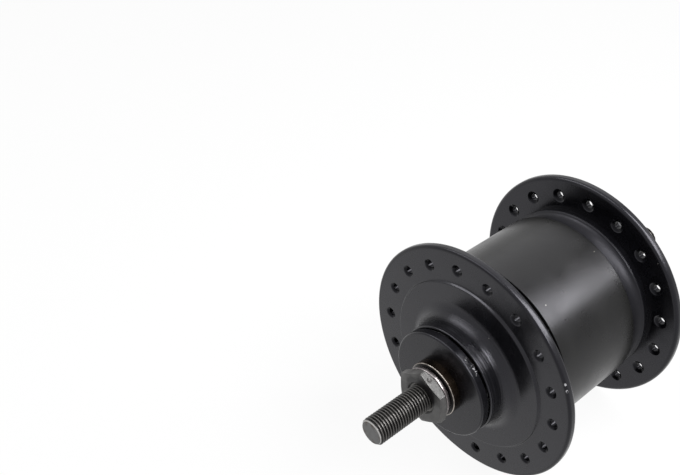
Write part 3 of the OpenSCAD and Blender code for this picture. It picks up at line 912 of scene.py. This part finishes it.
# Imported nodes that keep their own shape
kept = {
    "stator_sleeve": stator_steel, "left_claw_pole": stator_steel, "right_claw_pole": stator_steel,
    "coil_bobbin": bobbin_plastic, "coil_winding": coil_copper,
    "stator_washer": plated_steel, "stator_nut": plated_steel, "coil_lead": lead_cover,
    "terminal_housing": terminal_plastic, "terminal_contact_live": contact_brass,
    "terminal_contact_ground": contact_brass, "magnet_segments": magnet_ferrite,
    "left_bearing_cup": bearing_steel, "right_bearing_cup": bearing_steel,
    "left_seal": seal_rubber, "right_seal": seal_rubber,
    "left_bearing_balls": ball_steel, "right_bearing_balls": ball_steel,
    "left_ball_retainer": retainer_steel, "right_ball_retainer": retainer_steel,
}
for node_name, mat in kept.items():
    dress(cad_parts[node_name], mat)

# Shell pieces that turn
for side, hand, turn in ((1, "left", LEFT_HOLE_TURN), (-1, "right", RIGHT_HOLE_TURN)):
    bell = end_bell(f"{hand}_flange_fine", side, turn)
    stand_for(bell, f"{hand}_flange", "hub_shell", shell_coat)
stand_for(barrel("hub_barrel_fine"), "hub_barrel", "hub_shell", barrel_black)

# Caps, washers, nuts, cones and thread ends on the axle
ends = ((1, "left", LEFT_CONE_TIP, LEFT_CONE_END), (-1, "right", RIGHT_CONE_TIP, RIGHT_CONE_END))
for side, hand, cone_tip, cone_end in ends:
    cap = dust_cap(f"{hand}_dust_cap_fine", side)
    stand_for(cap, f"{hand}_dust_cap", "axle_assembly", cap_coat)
    washer = lock_washer(f"{hand}_lock_washer_fine", side)
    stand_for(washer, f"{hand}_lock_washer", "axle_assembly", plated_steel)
    nut = locknut(f"{hand}_locknut_fine", side)
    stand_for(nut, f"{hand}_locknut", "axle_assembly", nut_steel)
    cone = bearing_cone(f"{hand}_cone_fine", side, cone_tip, cone_end)
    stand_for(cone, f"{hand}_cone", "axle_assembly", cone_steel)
    thread = thread_end(f"{hand}_axle_thread", side)
    dress(thread, axle_steel)
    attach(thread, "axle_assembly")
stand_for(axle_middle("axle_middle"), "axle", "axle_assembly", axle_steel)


# Floor, world, lamps and camera
def white_floor():
    """A floor under the part that looks white and takes the part's shadow."""
    bm = bmesh.new()
    corners = []
    for x, y in ((-1, -1), (1, -1), (1, 1), (-1, 1)):
        corners.append(bm.verts.new((x * FLOOR_HALF, y * FLOOR_HALF, cad_box[0][2])))
    bm.faces.new(corners)
    mesh = bpy.data.meshes.new("floor")
    bm.to_mesh(mesh)
    bm.free()
    obj = bpy.data.objects.new("floor", mesh)
    bpy.context.scene.collection.objects.link(obj)
    mat, tree, shader = material("floor_white")
    shader.inputs["Base Color"].default_value = (FLOOR_GREY, FLOOR_GREY, FLOOR_GREY, 1.0)
    shader.inputs["Roughness"].default_value = FLOOR_ROUGH
    glow = add(tree, "ShaderNodeEmission")
    blend = add(tree, "ShaderNodeMixShader")
    link(tree, times(tree, seen(tree), FLOOR_GLOW), blend.inputs[0])
    link(tree, shader.outputs[0], blend.inputs[1])
    link(tree, glow.outputs[0], blend.inputs[2])
    link(tree, blend.outputs[0], tree.nodes["Material Output"].inputs["Surface"])
    dress(obj, mat)
    return obj


def studio_world():
    """Dim, even light from all round, with a white backdrop."""
    world = bpy.data.worlds.new("studio")
    bpy.context.scene.world = world
    world.use_nodes = True
    tree = world.node_tree
    sky = tree.nodes["Background"]
    sky.inputs["Color"].default_value = (1.0, 1.0, 1.0, 1.0)
    level = stretch(tree, seen(tree), 0.0, 1.0, SKY_LIGHT, BACKDROP)
    link(tree, level, sky.inputs["Strength"])


def softbox(name, at, long, wide, watts, roll=0.0):
    """A square or long lamp that faces the part; places and sizes in metres."""
    lamp = bpy.data.lights.new(name, "AREA")
    lamp.shape = "RECTANGLE"
    lamp.size = long
    lamp.size_y = wide
    lamp.energy = watts
    obj = bpy.data.objects.new(name, lamp)
    obj.location = Vector(at)
    facing = (-Vector(at)).to_track_quat("-Z", "Y")
    obj.rotation_euler = (facing @ Quaternion((0, 0, 1), math.radians(roll))).to_euler()
    bpy.context.scene.collection.objects.link(obj)


def photo_camera():
    """The camera at the photograph's place."""
    data = bpy.data.cameras.new("camera")
    data.lens = LENS
    data.sensor_width = SENSOR
    data.shift_x = SHIFT_X
    data.shift_y = SHIFT_Y
    data.clip_start = CLIP_START
    data.clip_end = CLIP_END
    obj = bpy.data.objects.new("camera", data)
    obj.location = Vector(CAMERA_AT) * MM
    sight = (Vector(CAMERA_AIM) - Vector(CAMERA_AT)) * MM
    level = sight.to_track_quat("-Z", "Y")
    obj.rotation_euler = (level @ Quaternion((0, 0, 1), math.radians(CAMERA_ROLL))).to_euler()
    bpy.context.scene.collection.objects.link(obj)
    bpy.context.scene.camera = obj


floor = white_floor()
studio_world()
softbox("back", at=(-0.2, -0.185, 0.34), long=0.12, wide=0.36, watts=2.6)
softbox("right", at=(-0.42, -0.05, 0.42), long=0.24, wide=0.24, watts=3.4)
softbox("top", at=(0.26, 0.19, 0.52), long=0.6, wide=0.16, watts=1.95, roll=49.0)
softbox("overhead", at=(0.3, -0.42, 0.52), long=0.6, wide=0.6, watts=1.1)
photo_camera()
bpy.context.scene.view_settings.view_transform = "Standard"

bpy.context.view_layer.update()
